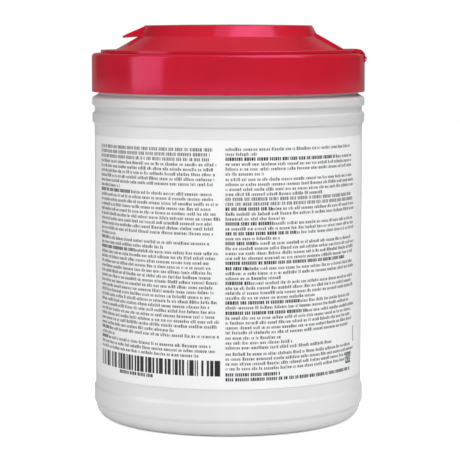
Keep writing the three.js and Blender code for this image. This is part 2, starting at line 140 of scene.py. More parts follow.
# Labels and their print
LABEL_FOOT = label_low.z
LABEL_TOP = label_high.z
LABEL_RADIUS = WALL_RADIUS + LABEL_GAP
LABEL_HALF_ANGLE = math.radians(77.5)
LABEL_CORNER_RADIUS = 5
FILM_COLUMNS = 120
TOUCHING = 0.001
INK_THICKNESS = 0.02
LETTER_CELL = 0.29
LINE_PITCH = 2.193
ASCENDER = 0.4
BACK_PRINT_LEFT = -74.1
BACK_PRINT_MIDDLE = -1.2
FRONT_PRINT_REACH = 78
FRONT_PRINT_COLUMNS = 96
FRONT_PANEL_WIDTH = 36
FRONT_PANEL_PITCH = 48
RING_RADIUS = 9.5
RING_WIDTH = 1.4


def deselect():
    """Leave nothing selected or in edit mode."""
    if bpy.context.mode != "OBJECT":
        bpy.ops.object.mode_set(mode="OBJECT")
    bpy.ops.object.select_all(action="DESELECT")


def pick(*pieces):
    """Select these pieces alone, with the first one active."""
    deselect()
    for piece in pieces:
        piece.select_set(True)
    bpy.context.view_layer.objects.active = pieces[0]


def rounded(corners, steps=5):
    """An outline's (radius, height, fillet) corners as points, with an arc where a corner has a fillet."""
    points = []
    for i, (x, z, fillet) in enumerate(corners):
        if fillet == 0 or i in (0, len(corners) - 1):
            points.append((x, z))
            continue
        before = (corners[i - 1][0] - x, corners[i - 1][1] - z)
        after = (corners[i + 1][0] - x, corners[i + 1][1] - z)
        length_before = math.hypot(*before)
        length_after = math.hypot(*after)
        before = (before[0] / length_before, before[1] / length_before)
        after = (after[0] / length_after, after[1] / length_after)
        half = math.acos(max(-1, min(1, before[0] * after[0] + before[1] * after[1]))) / 2
        reach = min(fillet / math.tan(half), 0.48 * length_before, 0.48 * length_after)
        radius = reach * math.tan(half)
        middle = (before[0] + after[0], before[1] + after[1])
        size = math.hypot(*middle)
        to_centre = radius / math.sin(half)
        centre = (x + middle[0] / size * to_centre, z + middle[1] / size * to_centre)
        start = math.atan2(z + before[1] * reach - centre[1], x + before[0] * reach - centre[0])
        end = math.atan2(z + after[1] * reach - centre[1], x + after[0] * reach - centre[0])
        turn = (end - start + math.pi) % (2 * math.pi) - math.pi
        for step in range(steps + 1):
            angle = start + turn * step / steps
            points.append((centre[0] + radius * math.cos(angle), centre[1] + radius * math.sin(angle)))
    return points


def arc(centre, size, start, end, steps):
    """Points on an ellipse, from start to end in degrees."""
    points = []
    for step in range(steps + 1):
        angle = math.radians(start + (end - start) * step / steps)
        points.append((centre[0] + size[0] * math.cos(angle), centre[1] + size[1] * math.sin(angle)))
    return points


def place_in_mesh(piece):
    """Put the piece's place, turn and scale into its mesh."""
    pick(piece)
    bpy.ops.object.transform_apply(location=True, rotation=True, scale=True)


def face_outwards(piece):
    """Merge the piece's doubles and turn its faces outwards."""
    pick(piece)
    bpy.ops.object.mode_set(mode="EDIT")
    bpy.ops.mesh.select_all(action="SELECT")
    bpy.ops.mesh.remove_doubles(threshold=1e-6)
    bpy.ops.mesh.normals_make_consistent(inside=False)
    bpy.ops.object.mode_set(mode="OBJECT")


def close_pole(height, from_height):
    """Draw the selected ring together in one point on the axis."""
    bpy.ops.mesh.extrude_edges_move()
    bpy.ops.mesh.merge(type="CENTER")
    bpy.ops.transform.translate(value=(0, 0, (height - from_height) * MM))


def turned(name, outline, segments=TURNED_SEGMENTS):
    """A solid turned about the axis, ring by ring, closed on the axis or else on its own first ring."""
    rings = [point for point in outline if point[0] > ON_AXIS]
    first_radius, first_height = rings[0]
    deselect()
    place = (0, 0, first_height * MM)
    bpy.ops.mesh.primitive_circle_add(vertices=segments, radius=first_radius * MM, location=place)
    piece = bpy.context.object
    piece.name = name
    bpy.ops.object.mode_set(mode="EDIT")
    bpy.ops.mesh.select_mode(type="VERT")
    bpy.ops.mesh.select_all(action="SELECT")
    if outline[0][0] <= ON_AXIS:
        close_pole(outline[0][1], first_height)
        bpy.ops.mesh.select_all(action="DESELECT")
        bpy.ops.object.mode_set(mode="OBJECT")
        for vertex in piece.data.vertices[:segments]:
            vertex.select = True
    bpy.ops.object.mode_set(mode="EDIT")
    for before, after in zip(rings, rings[1:]):
        bpy.ops.mesh.extrude_edges_move()
        share = after[0] / before[0]
        bpy.ops.transform.resize(value=(share, share, 1), center_override=(0, 0, before[1] * MM))
        bpy.ops.transform.translate(value=(0, 0, (after[1] - before[1]) * MM))
    if outline[-1][0] <= ON_AXIS:
        close_pole(outline[-1][1], rings[-1][1])
    elif outline[0][0] > ON_AXIS:
        bpy.ops.mesh.select_all(action="DESELECT")
        bpy.ops.mesh.select_non_manifold()
        bpy.ops.mesh.bridge_edge_loops()
    bpy.ops.object.mode_set(mode="OBJECT")
    place_in_mesh(piece)
    face_outwards(piece)
    return piece


def swept(name, size, stations):
    """A bar of a size (along Y, and across its path), pushed along stations of X, Z and degrees from +X."""
    (x, z, heading), *others = stations
    deselect()
    facing = (0, math.radians(90 - heading), 0)
    bpy.ops.mesh.primitive_plane_add(size=MM, location=(x * MM, 0, z * MM), rotation=facing)
    piece = bpy.context.object
    piece.name = name
    piece.scale = (size[1], size[0], 1)
    place_in_mesh(piece)
    bpy.ops.object.mode_set(mode="EDIT")
    bpy.ops.mesh.select_all(action="SELECT")
    for next_x, next_z, next_heading in others:
        step = ((next_x - x) * MM, 0, (next_z - z) * MM)
        bpy.ops.mesh.extrude_region_move(TRANSFORM_OT_translate={"value": step})
        if next_heading != heading:
            turn = math.radians(next_heading - heading)
            middle = (next_x * MM, 0, next_z * MM)
            bpy.ops.transform.rotate(value=turn, orient_axis="Y", center_override=middle)
        x, z, heading = next_x, next_z, next_heading
    bpy.ops.object.mode_set(mode="OBJECT")
    return piece


def box_piece(name, low, high):
    """A box between two corners, to be shaped further."""
    middle = [(a + b) / 2 * MM for a, b in zip(low, high)]
    deselect()
    bpy.ops.mesh.primitive_cube_add(size=1, location=middle)
    piece = bpy.context.object
    piece.name = name
    piece.scale = [(b - a) * MM for a, b in zip(low, high)]
    place_in_mesh(piece)
    return piece


def edit_vertices(piece, chosen):
    """Go into edit mode with just the vertices selected that the test chooses."""
    pick(piece)
    bpy.ops.object.mode_set(mode="EDIT")
    bpy.ops.mesh.select_mode(type="VERT")
    bpy.ops.mesh.select_all(action="DESELECT")
    bpy.ops.object.mode_set(mode="OBJECT")
    for vertex in piece.data.vertices:
        vertex.select = chosen(vertex)
    bpy.ops.object.mode_set(mode="EDIT")


def move_vertices(piece, chosen, step):
    """Move the vertices whose place in millimetres the test chooses."""
    edit_vertices(piece, lambda vertex: chosen(vertex.co / MM))
    bpy.ops.transform.translate(value=[part * MM for part in step])
    bpy.ops.object.mode_set(mode="OBJECT")


def with_modifier(piece, kind, **settings):
    """Add a modifier with these settings and apply it."""
    pick(piece)
    modifier = piece.modifiers.new(kind.title(), kind)
    for key, value in settings.items():
        setattr(modifier, key, value)
    bpy.ops.object.modifier_apply(modifier=modifier.name)


def round_edges(piece, width, degrees=30):
    """Round the edges that turn more than this."""
    limit = math.radians(degrees)
    with_modifier(piece, "BEVEL", width=width * MM, segments=3, limit_method="ANGLE", angle_limit=limit)


def cut_or_join(piece, tool, operation):
    """Cut the tool out of the piece, or join it on, and remove the tool."""
    face_outwards(tool)
    with_modifier(piece, "BOOLEAN", object=tool, operation=operation, solver="EXACT")
    bpy.data.objects.remove(tool)


def smooth(piece, degrees=32):
    """Shade the piece smooth, with the edges kept sharp that turn more than this."""
    pick(piece)
    bpy.ops.object.shade_smooth_by_angle(angle=math.radians(degrees))


def finish_piece(piece, material, body, slot, *nodes):
    """Give the piece its finish and its body, and hide the nodes that it stands for. The slot is not used."""
    piece.data.materials.clear()
    piece.data.materials.append(material)
    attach(piece, body)
    if nodes:
        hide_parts(*nodes)


# Finishes
def new_material(name):
    """A new node-based material, with its nodes, its links and its shader."""
    material = bpy.data.materials.new(name)
    material.use_nodes = True
    nodes = material.node_tree.nodes
    return material, nodes, material.node_tree.links, nodes["Principled BSDF"]


def noise(nodes, links, scale, detail=3, stretch=(1, 1, 1)):
    """Noise in object coordinates, at a scale per metre."""
    place = nodes.new("ShaderNodeTexCoord")
    mapping = nodes.new("ShaderNodeMapping")
    mapping.inputs["Scale"].default_value = stretch
    texture = nodes.new("ShaderNodeTexNoise")
    texture.inputs["Scale"].default_value = scale
    texture.inputs["Detail"].default_value = detail
    links.new(place.outputs["Object"], mapping.inputs["Vector"])
    links.new(mapping.outputs["Vector"], texture.inputs["Vector"])
    return texture.outputs["Fac"]


def ramp(nodes, links, source, low, high):
    """A blend from one colour or value to another across the middle of a noise."""
    blend = nodes.new("ShaderNodeValToRGB")
    for stop, position, colour in zip(blend.color_ramp.elements, NOISE_MIDDLE, (low, high)):
        stop.position = position
        stop.color = (*colour, 1)
    links.new(source, blend.inputs["Fac"])
    return blend.outputs["Color"]


def fade(nodes, links, source, start, end, from_value, to_value):
    """A value that goes evenly from one to the other while its source goes from start to end."""
    spread = nodes.new("ShaderNodeMapRange")
    spread.inputs["From Min"].default_value = start
    spread.inputs["From Max"].default_value = end
    spread.inputs["To Min"].default_value = from_value
    spread.inputs["To Max"].default_value = to_value
    links.new(source, spread.inputs["Value"])
    return spread.outputs["Result"]


def arithmetic(nodes, links, operation, *sources):
    """The outcome of a sum on one or two values."""
    result = nodes.new("ShaderNodeMath")
    result.operation = operation
    for source, socket in zip(sources, result.inputs):
        links.new(source, socket)
    return result.outputs["Value"]


def bump(nodes, links, source, shader, distance, strength=1.0):
    relief = nodes.new("ShaderNodeBump")
    relief.inputs["Strength"].default_value = strength
    relief.inputs["Distance"].default_value = distance
    links.new(source, relief.inputs["Height"])
    links.new(relief.outputs["Normal"], shader.inputs["Normal"])


def grey(value):
    return (value, value, value)


def satin_polyethylene():
    """Off-white, and greyer from the bands up: painted shade, matched to the photo's shade there."""
    material, nodes, links, shader = new_material("satin_polyethylene")
    clouds = noise(nodes, links, 28, stretch=(1, 1, 0.4))
    tone = ramp(nodes, links, clouds, (0.765, 0.76, 0.767), (0.795, 0.79, 0.797))
    place = nodes.new("ShaderNodeTexCoord")
    axes = nodes.new("ShaderNodeSeparateXYZ")
    links.new(place.outputs["Object"], axes.inputs["Vector"])
    # Painted shade: the colour fades darker from just under the lower band upward, under the lid
    share = fade(nodes, links, axes.outputs["Z"], BAND_PAINTED_SHADE_START * MM, BAND_PAINTED_SHADE_END * MM, 1, BAND_PAINTED_SHADE)
    shaded = nodes.new("ShaderNodeVectorMath")
    shaded.operation = "SCALE"
    links.new(tone, shaded.inputs[0])
    links.new(share, shaded.inputs["Scale"])
    links.new(shaded.outputs["Vector"], shader.inputs["Base Color"])
    grain = noise(nodes, links, 900)
    links.new(ramp(nodes, links, grain, grey(0.32), grey(0.4)), shader.inputs["Roughness"])
    bump(nodes, links, noise(nodes, links, 160, detail=4), shader, 0.0001, 0.35)
    shader.inputs["Specular IOR Level"].default_value = 0.8
    return material


def glossy_red_plastic():
    material, nodes, links, shader = new_material("glossy_red_plastic")
    flow = noise(nodes, links, 40, stretch=(1, 1, 2))
    tone = ramp(nodes, links, flow, (0.54, 0.012, 0.027), (0.575, 0.014, 0.031))
    links.new(tone, shader.inputs["Base Color"])
    grain = noise(nodes, links, 700)
    links.new(ramp(nodes, links, grain, grey(0.13), grey(0.19)), shader.inputs["Roughness"])
    bump(nodes, links, noise(nodes, links, 120, detail=2), shader, 0.0001, 0.12)
    shader.inputs["Specular IOR Level"].default_value = 0.9
    shader.inputs["Specular Tint"].default_value = (1, 0.2, 0.5, 1)
    return material


def label_film():
    material, nodes, links, shader = new_material("label_film")
    clouds = noise(nodes, links, 35)
    tone = ramp(nodes, links, clouds, (0.90, 0.90, 0.905), (0.925, 0.925, 0.93))
    links.new(tone, shader.inputs["Base Color"])
    grain = noise(nodes, links, 1200)
    links.new(ramp(nodes, links, grain, grey(0.42), grey(0.52)), shader.inputs["Roughness"])
    bump(nodes, links, noise(nodes, links, 90), shader, 0.0001, 0.15)
    return material


def ink(name, colour, spread=0.25):
    """Printed ink that is a little lighter in places."""
    material, nodes, links, shader = new_material(name)
    wear = noise(nodes, links, 1500)
    light = tuple(min(1, part * (1 + spread)) for part in colour)
    links.new(ramp(nodes, links, wear, colour, light), shader.inputs["Base Color"])
    links.new(ramp(nodes, links, wear, grey(0.42), grey(0.55)), shader.inputs["Roughness"])
    bump(nodes, links, wear, shader, 0.00002, 0.3)
    return material


def damp_nonwoven():
    material, nodes, links, shader = new_material("damp_nonwoven")
    fibres = noise(nodes, links, 700, detail=8, stretch=(1, 1, 0.25))
    links.new(ramp(nodes, links, fibres, (0.78, 0.80, 0.80), (0.92, 0.93, 0.93)), shader.inputs["Base Color"])
    links.new(ramp(nodes, links, fibres, grey(0.75), grey(0.95)), shader.inputs["Roughness"])
    bump(nodes, links, fibres, shader, 0.0004, 0.8)
    shader.inputs["Sheen Weight"].default_value = 0.25
    return material


bottle_finish = satin_polyethylene()
closure_finish = glossy_red_plastic()
film_finish = label_film()
text_ink = ink("grey_text_ink", (0.16, 0.155, 0.16))
bold_ink = ink("black_ink", (0.012, 0.011, 0.012))
red_ink = ink("red_ink", (0.55, 0.016, 0.03), spread=0.08)
blue_ink = ink("blue_ink", (0.10, 0.26, 0.50), spread=0.08)
wipe_finish = damp_nonwoven()


# Bottle
def make_bottle():
    crease = WALL_RADIUS - BASE_CREASE_DEPTH
    bumper = WALL_RADIUS + BUMPER_PROUD
    lower_band = WALL_RADIUS + BAND_PROUD
    upper_band = -bottle_low.y
    groove = WALL_RADIUS - GROOVE_DEPTH
    inner_wall = WALL_RADIUS - SHELL_WALL
    inner_neck = NECK_RADIUS - SHELL_WALL
    shoulder_top = LID_FOOT - 1
    upper_foot = shoulder_top - 5.8
    groove_foot = upper_foot - 2.3
    lower_foot = groove_foot - 5.7
    bead = LID_FOOT + 2.9
    rise_radius = FOOT_INNER_RADIUS - 3.6
    corner = (crease - FOOT_RADIUS, BASE_CORNER_HEIGHT)
    base = rounded([
        (0, BASE_RISE, 0),
        (rise_radius, BASE_RISE, 2),
        (FOOT_INNER_RADIUS, 0, 0.7),
        (FOOT_RADIUS, 0, 0),
    ])
    base += arc((FOOT_RADIUS, BASE_CORNER_HEIGHT), corner, -84, -6, 13)
    wall = rounded([
        (crease, BASE_CORNER_HEIGHT - 0.6, 0),
        (crease, BASE_CORNER_HEIGHT + 0.2, 0.5),
        (bumper, BASE_CORNER_HEIGHT + 1.9, 1.6),
        (bumper, BUMPER_TOP - 1.5, 2),
        (WALL_RADIUS, BUMPER_TOP, 1.4),
        (WALL_RADIUS, lower_foot, 0.5),
        (lower_band, lower_foot + 0.8, 0.8),
        (lower_band, groove_foot - 0.8, 0.8),
        (groove, groove_foot, 0.5),
        (groove, upper_foot, 0.5),
        (upper_band, upper_foot + 0.8, 0.8),
        (upper_band, shoulder_top - 1.6, 1.4),
        (NECK_RADIUS, shoulder_top, 0.4),
        (NECK_RADIUS, bead, 0.3),
        (NECK_RADIUS + 0.35, bead + 0.5, 0.2),
        (NECK_RADIUS + 0.35, bead + 1, 0.2),
        (NECK_RADIUS, bead + 1.6, 0.3),
        (NECK_RADIUS, NECK_TOP, 0.4),
        (inner_neck, NECK_TOP, 0.4),
        (inner_neck, shoulder_top - SHELL_WALL, 0.8),
        (inner_wall, shoulder_top - 2 - SHELL_WALL, 0.8),
        (inner_wall, BASE_CORNER_HEIGHT + 4, 0),
    ])
    inside = arc((FOOT_RADIUS, BASE_CORNER_HEIGHT), (inner_wall - FOOT_RADIUS, 5.6), 0, -90, 8)
    floor = rounded([
        (FOOT_RADIUS - 0.2, SHELL_WALL, 0),
        (FOOT_INNER_RADIUS, SHELL_WALL, 0.8),
        (rise_radius, BASE_RISE + SHELL_WALL, 1.5),
        (0, BASE_RISE + SHELL_WALL, 0),
    ])
    bottle = turned("bottle_shell", base + wall + inside + floor)
    smooth(bottle)
    finish_piece(bottle, bottle_finish, "bottle", "shell", "canister")

    # The pinched seam that the blow mould leaves across the pushed-up base
    seam = box_piece("base_seam", (-31, -0.55, BASE_RISE - 1), (31, 0.55, BASE_RISE + 0.4))
    round_edges(seam, 0.35)
    smooth(seam)
    finish_piece(seam, bottle_finish, "bottle", "shell")


# Labels: each is drawn flat, facing -Y with X along the wall, and then wrapped round the bottle
def flat_grid(name, left, right, low, high, columns, rows):
    deselect()
    middle = ((left + right) / 2 * MM, 0, (low + high) / 2 * MM)
    bpy.ops.mesh.primitive_grid_add(
        x_subdivisions=columns,
        y_subdivisions=rows,
        size=1,
        location=middle,
        rotation=(math.radians(90), 0, 0),
    )
    piece = bpy.context.object
    piece.name = name
    piece.scale = ((right - left) * MM, (high - low) * MM, 1)
    place_in_mesh(piece)
    return piece


def delete_faces(piece, chosen):
    """Delete the faces whose middle, in millimetres, the test chooses."""
    pick(piece)
    bpy.ops.object.mode_set(mode="EDIT")
    bpy.ops.mesh.select_mode(type="FACE")
    bpy.ops.mesh.select_all(action="DESELECT")
    bpy.ops.object.mode_set(mode="OBJECT")
    for face in piece.data.polygons:
        face.select = chosen(face.center / MM)
    bpy.ops.object.mode_set(mode="EDIT")
    bpy.ops.mesh.delete(type="FACE")
    bpy.ops.mesh.select_mode(type="VERT")
    bpy.ops.object.mode_set(mode="OBJECT")


def wrap(piece, radius, turned_round):
    """Bend a flat piece round the bottle, at a radius in millimetres, on the side of -Y or of +Y."""
    across = [vertex.co.x for vertex in piece.data.vertices]
    length = max(across) - min(across)
    with_modifier(piece, "SIMPLE_DEFORM", deform_method="BEND", deform_axis="Z", angle=length / (radius * MM))
    piece.location.y = -radius * MM
    place_in_mesh(piece)
    if turned_round:
        piece.rotation_euler.z = math.pi
        place_in_mesh(piece)


def make_film(name, node, turned_round):
    """A label's film with round corners, wrapped on the bottle."""
    half = LABEL_RADIUS * LABEL_HALF_ANGLE
    film = flat_grid(name, -half, half, LABEL_FOOT, LABEL_TOP, FILM_COLUMNS, 2)

    def is_corner(vertex):
        place = vertex.co / MM
        at_side = abs(abs(place.x) - half) < TOUCHING
        return at_side and min(abs(place.z - LABEL_FOOT), abs(place.z - LABEL_TOP)) < TOUCHING

    edit_vertices(film, is_corner)
    bpy.ops.mesh.bevel(offset=LABEL_CORNER_RADIUS * MM, segments=8, affect="VERTICES")
    bpy.ops.object.mode_set(mode="OBJECT")
    with_modifier(film, "SOLIDIFY", thickness=LABEL_THICKNESS * MM, offset=1)
    wrap(film, LABEL_RADIUS, turned_round)
    face_outwards(film)
    smooth(film)
    finish_piece(film, film_finish, "bottle", "label", node)


def letters(rng, columns, bold):
    """Cells of one printed line: for each, whether it holds ink, and whether its block is a tall one."""
    cells = []
    while len(cells) < columns:
        for _ in range(rng.randint(2, 8)):
            wide = rng.choice((2, 2, 2, 3) if bold else (1, 2, 2, 2, 3))
            tall = bold or rng.random() < 0.22
            cells += [(True, tall)] * wide + [(False, False)]
        cells += [(False, False)] * 2
    return cells[:columns]


def paragraph(rng, left, width, top, lines, bold_share, last_share, caps):
    """Greeked lines, with no letters but blocks in the rhythm of small type. Returns the pieces made."""
    columns = round(width / LETTER_CELL)
    low = top - LINE_PITCH * lines
    rows = {True: {}, False: {}}
    for line in range(lines):
        bold_cells = round(columns * bold_share) if line == 0 else 0
        share = last_share if line == lines - 1 else rng.uniform(0.93, 1.0)
        filled = round(columns * share)
        cells = letters(rng, bold_cells, True) + letters(rng, max(0, filled - bold_cells), False)
        rows[True][line] = cells[:bold_cells]
        rows[False][line] = [(False, False)] * bold_cells + cells[bold_cells:filled]
    made = []
    for bold in (True, False):
        if not any(inked for row in rows[bold].values() for inked, _ in row):
            continue
        piece = flat_grid("print", left, left + width, low, top, columns, 2 * lines)

        def cell_of(place, bold=bold):
            line = min(lines - 1, int((top - place.z) / LINE_PITCH))
            column = int((place.x - left) / width * columns)
            row = rows[bold][line]
            return row[column] if column < len(row) else (False, False)

        def is_blank(place):
            in_gap = (top - place.z) % LINE_PITCH > LINE_PITCH / 2
            return in_gap or not cell_of(place)[0]

        delete_faces(piece, is_blank)

        def is_tall_top(place, bold=bold):
            below_top = (top - place.z) % LINE_PITCH
            if min(below_top, LINE_PITCH - below_top) >= 0.02:
                return False
            line = round((top - place.z) / LINE_PITCH)
            row = rows[bold].get(line, [])
            column = int((place.x - left) / width * columns + 0.5)
            beside = [row[at] for at in (column - 1, column) if 0 <= at < len(row)]
            return any(inked and (tall or (caps and line < 3)) for inked, tall in beside)

        move_vertices(piece, is_tall_top, (0, 0, ASCENDER))
        made.append((piece, bold))
    return made


def print_columns():
    """The two columns of fine print on the back label."""
    rng = random.Random(7)
    plain = []
    heavy = []
    # Lines, share of the first one in bold, share filled in the last, capitals, lines left free after it
    left_column = [
        (9, 0, 0.25, True, 0),
        (10, 0.38, 0.2, False, 0),
        (2, 0.12, 0.62, False, 0),
        (11, 0.4, 0.98, False, 0),
        (6, 0, 0.7, False, 0),
        (2, 0.14, 0.18, False, 0),
        (3, 0.11, 0.86, False, 0),
    ]
    right_column = [
        (2, 0, 0.19, False, 0),
        (4, 0.78, 0.23, False, 0.1),
        (4, 0, 0.65, False, 0),
        (2, 0, 0.98, True, 0),
        (3, 0.28, 0.37, False, 0),
        (2, 0.28, 0.98, False, 0),
        (2, 0.43, 0.33, False, 0),
        (4, 0.18, 0.97, False, 0),
        (1, 0.86, 0.86, False, 0.1),
        (3, 0.13, 0.35, False, 0),
        (4, 0.15, 0.58, False, 0),
        (2, 0.47, 0.92, False, 0.1),
        (5, 0.52, 0.92, False, 0.1),
        (1, 0, 0.34, False, 0),
        (1, 0, 0.42, False, 0),
        (1, 0, 0.73, False, 0.3),
        (4, 0, 0.87, False, 0.25),
        (1, 0.34, 0.34, False, 0),
        (1, 0.94, 0.94, False, 0),
    ]
    columns = (
        (BACK_PRINT_LEFT, 70.5, 3.9, left_column),
        (BACK_PRINT_MIDDLE, 74.4, 3.6, right_column),
    )
    for left, width, drop, column in columns:
        top = LABEL_TOP - drop
        for lines, bold_share, last_share, caps, free in column:
            for piece, bold in paragraph(rng, left, width, top, lines, bold_share, last_share, caps):
                (heavy if bold else plain).append(piece)
            top -= (lines + free) * LINE_PITCH
    return plain, heavy


def bar_code(name, rng, left, right, low, high, modules):
    """A row of bars of one to four modules, with gaps of one to three, that stand for no number."""
    cells = []
    while len(cells) < modules:
        cells += [True] * rng.choice((1, 1, 2, 2, 3, 4)) + [False] * rng.choice((1, 1, 2, 3))
    cells = cells[: modules - 2] + [True] * 2
    piece = flat_grid(name, left, right, low, high, modules, 1)
    width = right - left
    delete_faces(piece, lambda place: not cells[int((place.x - left) / width * modules)])
    return piece


def dot_code(name, rng, left, low, size, cells):
    """A square of random dots between two full sides."""
    piece = flat_grid(name, left, left + size, low, low + size, cells, cells)
    dots = []
    for row in range(cells):
        dots.append([row == 0 or column == 0 or rng.random() < 0.5 for column in range(cells)])

    def is_blank(place):
        column = int((place.x - left) / size * cells)
        row = int((place.z - low) / size * cells)
        return not dots[row][column]

    delete_faces(piece, is_blank)
    return piece


def finish_print(name, pieces, material, turned_round, fine=True):
    """Join flat marks, thicken and wrap them. Only fine ones can lose the edges that let wide ones bend."""
    pick(*pieces)
    bpy.ops.object.join()
    piece = bpy.context.object
    piece.name = name
    if fine:
        bpy.ops.object.mode_set(mode="EDIT")
        bpy.ops.mesh.select_all(action="SELECT")
        bpy.ops.mesh.dissolve_limited(angle_limit=math.radians(1))
        bpy.ops.object.mode_set(mode="OBJECT")
    with_modifier(piece, "SOLIDIFY", thickness=INK_THICKNESS * MM, offset=1)
    wrap(piece, LABEL_RADIUS + LABEL_THICKNESS, turned_round)
    finish_piece(piece, material, "bottle", "label")


def make_back_print():
    """Two columns of fine print, a stripe pattern over a short line, a dot pattern and a side note."""
    rng = random.Random(11)
    plain, heavy = print_columns()
    heavy.append(bar_code("bars", rng, BACK_PRINT_LEFT, -3.6, LABEL_FOOT + 5.9, LABEL_FOOT + 13, 141))
    heavy.append(dot_code("dots", rng, 64.6, LABEL_FOOT + 7.1, 5.1, 12))
    heavy += [piece for piece, bold in paragraph(rng, -57, 21, LABEL_FOOT + 5, 1, 1, 1, True)]
    plain.append(flat_grid("side_note", 72.2, 72.9, LABEL_FOOT + 16.5, LABEL_FOOT + 23.7, 1, 1))
    finish_print("back_label_print", plain, text_ink, False)
    finish_print("back_label_bold_print", heavy, bold_ink, False)


def make_front_print():
    """A plain design of a red field and band, with three rings between them, each over a short paragraph."""
    rng = random.Random(5)
    red_marks = []
    for name, low, high in (
        ("field", LABEL_TOP - 44, LABEL_TOP - 6),
        ("band", LABEL_FOOT + 6, LABEL_FOOT + 12),
    ):
        mark = flat_grid(name, -FRONT_PRINT_REACH, FRONT_PRINT_REACH, low, high, FRONT_PRINT_COLUMNS, 1)
        red_marks.append(mark)
    middles = (-FRONT_PANEL_PITCH, 0, FRONT_PANEL_PITCH)
    plain = []
    for middle in middles:
        left = middle - FRONT_PANEL_WIDTH / 2
        lines = paragraph(rng, left, FRONT_PANEL_WIDTH, LABEL_FOOT + 34, 5, 0, 0.6, False)
        plain += [piece for piece, bold in lines]
    rings = []
    for middle in middles:
        deselect()
        place = (middle * MM, 0, (LABEL_FOOT + 47) * MM)
        bpy.ops.mesh.primitive_circle_add(
            vertices=48,
            radius=RING_RADIUS * MM,
            fill_type="NGON",
            location=place,
            rotation=(math.radians(90), 0, 0),
        )
        ring = bpy.context.object
        place_in_mesh(ring)
        bpy.ops.object.mode_set(mode="EDIT")
        bpy.ops.mesh.select_all(action="SELECT")
        bpy.ops.mesh.inset(thickness=RING_WIDTH * MM)
        bpy.ops.mesh.delete(type="FACE")
        bpy.ops.object.mode_set(mode="OBJECT")
        rings.append(ring)
    finish_print("front_label_red_print", red_marks, red_ink, True, fine=False)
    finish_print("front_label_blue_print", rings, blue_ink, True, fine=False)
    finish_print("front_label_text_print", plain, text_ink, True)


# Wound roll and the lead wipe
def make_roll():
    """The wound roll, with a ridge for each turn on its upper end."""
    pitch = (ROLL_RADIUS - ROLL_CORE_RADIUS) / ROLL_TURNS
    outline = [(ROLL_CORE_RADIUS, ROLL_FOOT), (ROLL_RADIUS, ROLL_FOOT)]
    for turn in range(ROLL_TURNS):
        outside = ROLL_RADIUS - turn * pitch
        lift = 0.35 * math.sin(2.4 * turn)
        outline += [
            (outside, ROLL_TOP - 0.9 + lift),
            (outside - 0.3 * pitch, ROLL_TOP - 0.35 + lift),
            (outside - 0.7 * pitch, ROLL_TOP - 0.35 + lift),
            (outside - 0.95 * pitch, ROLL_TOP - 1.1 + lift),
        ]
    outline.append((ROLL_CORE_RADIUS, ROLL_TOP - 1.1))
    roll = turned("wound_roll", outline, 120)
    clouds = bpy.data.textures.new("soft_edges", "CLOUDS")
    clouds.noise_scale = 0.012
    with_modifier(roll, "DISPLACE", texture=clouds, strength=0.5 * MM, mid_level=0.5)
    smooth(roll, 50)
    finish_piece(roll, wipe_finish, "bottle", "wipe", "wipe_roll")


def make_tail():
    """The lead wipe, gathered in pleats, that rises from the roll's core through the nozzle."""
    leaves = ROLL_TOP - 60
    route = [(-14.5, leaves), (-11.5, leaves + 10), (-7, leaves + 22), (-3, leaves + 34), (-0.6, leaves + 46)]
    route += [(0, leaves + 56 + step * (TAIL_TOP - leaves - 56) / 8) for step in range(9)]
    deselect()
    start = (route[0][0] * MM, 0, route[0][1] * MM)
    bpy.ops.mesh.primitive_circle_add(vertices=24, radius=TAIL_RADIUS * MM, fill_type="NGON", location=start)
    tail = bpy.context.object
    tail.name = "lead_wipe"
    place_in_mesh(tail)
    edit_vertices(tail, lambda vertex: vertex.index % 2 == 1)
    bpy.ops.transform.resize(value=(PLEAT_SHARE, PLEAT_SHARE, 1), center_override=start)
    bpy.ops.mesh.select_all(action="SELECT")
    bpy.ops.mesh.select_mode(type="FACE")
    for (x, z), (next_x, next_z) in zip(route, route[1:]):
        step = ((next_x - x) * MM, 0, (next_z - z) * MM)
        middle = (next_x * MM, 0, next_z * MM)
        bpy.ops.mesh.extrude_region_move(TRANSFORM_OT_translate={"value": step})
        bpy.ops.transform.rotate(value=PLEAT_TWIST, orient_axis="Z", center_override=middle)
    bpy.ops.mesh.inset(thickness=0.9 * MM)
    bpy.ops.transform.translate(value=(0, 0, -2.2 * MM))
    bpy.ops.object.mode_set(mode="OBJECT")
    with_modifier(tail, "SUBSURF", levels=2, render_levels=2)
    clouds = bpy.data.textures.new("crumple", "CLOUDS")
    clouds.noise_scale = 0.004
    with_modifier(tail, "DISPLACE", texture=clouds, strength=0.5 * MM, mid_level=0.7)
    face_outwards(tail)
    smooth(tail, 60)
    finish_piece(tail, wipe_finish, "bottle", "wipe", "wipe_roll")


# Lid
def strap_bend(inner, outer, first_x):
    """Stations of a bar that follows the hinge strap over the lid's corner, between two radii."""
    centre_x = STRAP_FACE - STRAP_BEND_RADIUS
    centre_z = STRAP_TOP - STRAP_BEND_RADIUS
    middle = (inner + outer) / 2
    stations = [(first_x, centre_z + middle, 0)]
    for step in range(11):
        angle = math.radians(90 - 9 * step)
        stations.append((centre_x + middle * math.cos(angle), centre_z + middle * math.sin(angle), -9 * step))
    return stations


